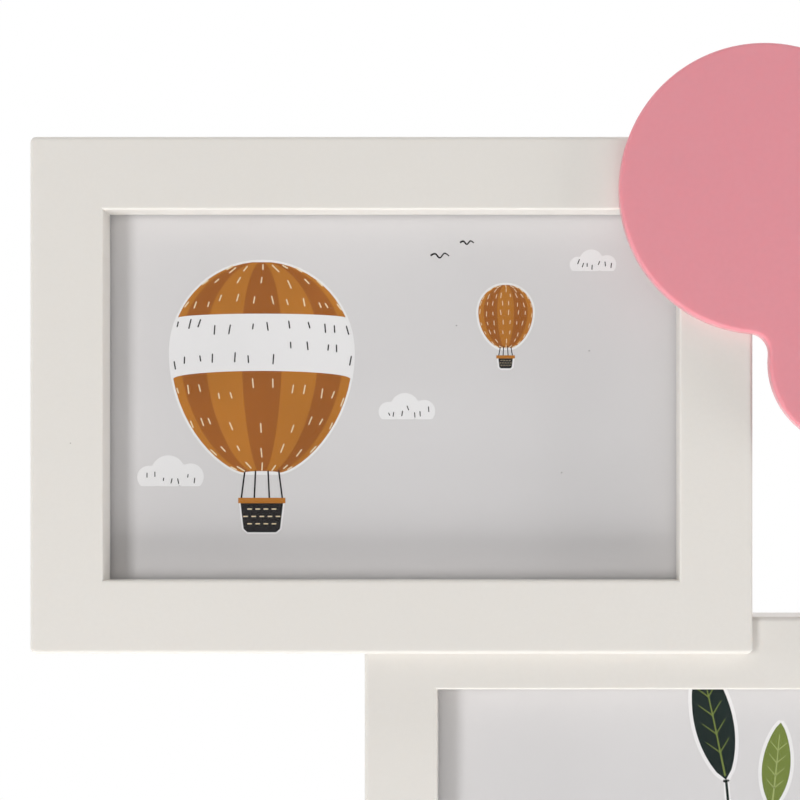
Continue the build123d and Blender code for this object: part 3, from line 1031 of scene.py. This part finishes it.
def drawBerries():
    draw = random.Random(41)
    spec = berryPrint
    shapes = []
    for x, z in spec["places"]:
        radius = draw.uniform(*spec["radius"])
        haloRadius = radius + spec["halo"]
        shapes.append((ellipse(x, z, haloRadius, haloRadius, 24), "white", 1))
        shapes.append((ellipse(x, z, radius, radius, 24), "ochre", 2))
        across, up, length = (value * radius for value in spec["gleam"])
        gleam = dash(x + across, z + up, length, spec["gleamWidth"], spec["gleamTilt"])
        shapes.append((gleam, "cream", 3))
    return shapes


makePrint("upper_left_picture", "upper_left_print", drawFlight())
makePrint("upper_right_picture", "upper_right_print", drawBoat())
makePrint("lower_picture", "lower_print", drawLeaves() + drawBerries())
print("prints laid in")

# a pale floor far below, light from the left and from below, and fill for the sides and the back
room = {
    "floorDrop": 2.4,
    "floorHalf": 4.0,
    "floorColour": (0.82, 0.82, 0.82),
    "floorGlow": 0.72,
    "ambient": 0.205,
}
lamps = {
    # way from the upper left frame's middle to the lamp, m; size across and along, m; watts
    "leftLamp": {"way": (-1.75, -2.8, -0.25), "size": (0.8, 1.5), "watts": 42.5},
    "leftEdgeLamp": {"way": (-2.3, -0.45, 0.0), "size": (0.4, 1.4), "watts": 13.5},
    "lowerLamp": {"way": (0.15, -1.25, -2.1), "size": (2.4, 0.9), "watts": 26.0},
    "lowerEdgeLamp": {"way": (0.0, -0.48, -2.1), "size": (1.4, 0.4), "watts": 18.0},
    "rightEdgeLamp": {"way": (2.3, -0.42, 0.1), "size": (0.5, 1.4), "watts": 22.0},
    "upperEdgeLamp": {"way": (0.0, -0.34, 2.2), "size": (1.4, 0.3), "watts": 20.0},
    "backLamp": {"way": (0.35, 2.1, 0.9), "size": (1.3, 1.3), "watts": 46.0},
}


def inSight(tree):
    # 1 for what is seen straight, mirrored or through the clear sheets, and 0 for what lights a surface
    rays = tree.nodes.new("ShaderNodeLightPath")
    seen = reckon(tree, "MAXIMUM", rays.outputs["Is Camera Ray"], rays.outputs["Is Glossy Ray"])
    seen = reckon(tree, "MAXIMUM", seen, rays.outputs["Is Transmission Ray"])
    return reckon(tree, "MULTIPLY", seen, reckon(tree, "LESS_THAN", rays.outputs["Diffuse Depth"], 0.5))


def makeWorld():
    world = bpy.data.worlds.new("studio")
    world.use_nodes = True
    bpy.context.scene.world = world
    tree = world.node_tree
    plain = tree.nodes["Background"]
    plain.inputs["Color"].default_value = (1, 1, 1, 1)
    # white to the eye, and a plain grey level to what it lights
    tree.links.new(spread(tree, inSight(tree), room["ambient"], 1, 0, 1), plain.inputs["Strength"])


def makeFloor():
    half, drop = room["floorHalf"], -room["floorDrop"]
    data = bpy.data.meshes.new("floor")
    corners = [(-half, -half, drop), (half, -half, drop), (half, half, drop), (-half, half, drop)]
    data.from_pydata(corners, [], [(0, 1, 2, 3)])
    floor = bpy.data.objects.new("floor", data)
    bpy.context.scene.collection.objects.link(floor)
    material, tree, shader = startFinish("paleFloor", room["floorColour"], {
        "Roughness": 0.8,
        "Specular IOR Level": 0.0,
        "Emission Color": (1, 1, 1, 1),
    })
    # what the floor's own light lacks of white is added for sight alone, so that shadows stay on it
    glow = reckon(tree, "MULTIPLY", inSight(tree), room["floorGlow"])
    tree.links.new(glow, shader.inputs["Emission Strength"])
    data.materials.append(material)


def makeLamps():
    low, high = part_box("upper_left_frame")
    target = (low + high) / 2
    # the clear sheets take no light from the lamps, which would haze the prints behind them
    sheets = bpy.data.collections.new("clearSheets")
    for name, piece in nodes.items():
        if name.endswith("clear_sheet"):
            sheets.objects.link(piece)
    for entry in sheets.collection_objects:
        entry.light_linking.link_state = "EXCLUDE"
    for name, spec in lamps.items():
        data = bpy.data.lights.new(name, "AREA")
        data.shape = "RECTANGLE"
        data.size, data.size_y = spec["size"]
        data.energy = spec["watts"]
        lamp = bpy.data.objects.new(name, data)
        lamp.location = target + Vector(spec["way"])
        lamp.rotation_mode = "QUATERNION"
        lamp.rotation_quaternion = Vector(spec["way"]).to_track_quat("Z", "Y")
        lamp.light_linking.receiver_collection = sheets
        # no gloss shows a lamp, whose mirror image would glare on the pale faces
        lamp.visible_camera = False
        lamp.visible_glossy = False
        bpy.context.scene.collection.objects.link(lamp)


makeWorld()
makeFloor()
makeLamps()
bpy.context.scene.view_settings.view_transform = "Standard"
print("stage lit")
